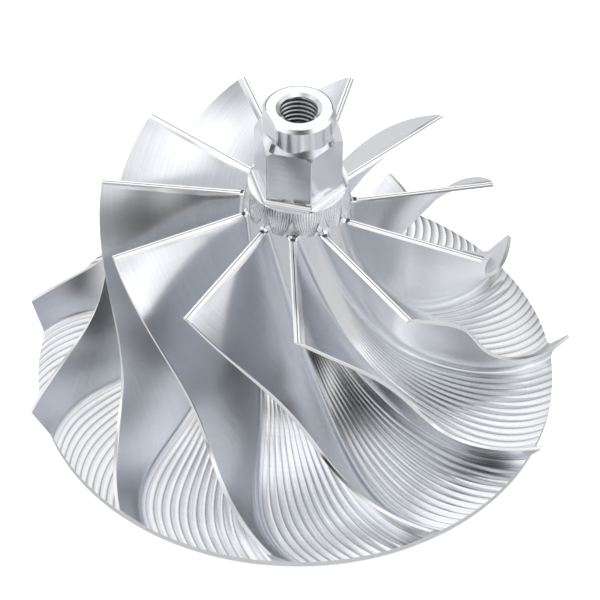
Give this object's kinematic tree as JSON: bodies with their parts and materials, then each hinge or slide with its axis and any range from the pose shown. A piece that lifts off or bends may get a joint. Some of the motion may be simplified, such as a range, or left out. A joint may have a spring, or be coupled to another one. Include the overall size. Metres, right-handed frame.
{
  "type": "compressor wheel",
  "caption": "One-piece milled aluminium compressor wheel: twisted full blades on a grooved disc, hexagonal nose and a threaded through bore.",
  "frame": {"origin": "centre of the flat ring on the back boss, on the bore axis", "axes": "+Z along the bore axis towards the nose; one blade's leading edge points along -Y"},
  "size_m": [0.1051, 0.1053, 0.0728],
  "materials": {
    "milled_aluminium": "bright milled surface with fine cutter marks"
  },
  "bodies": {
    "root": {"compressor_wheel": "milled_aluminium"}
  },
  "joints": []
}
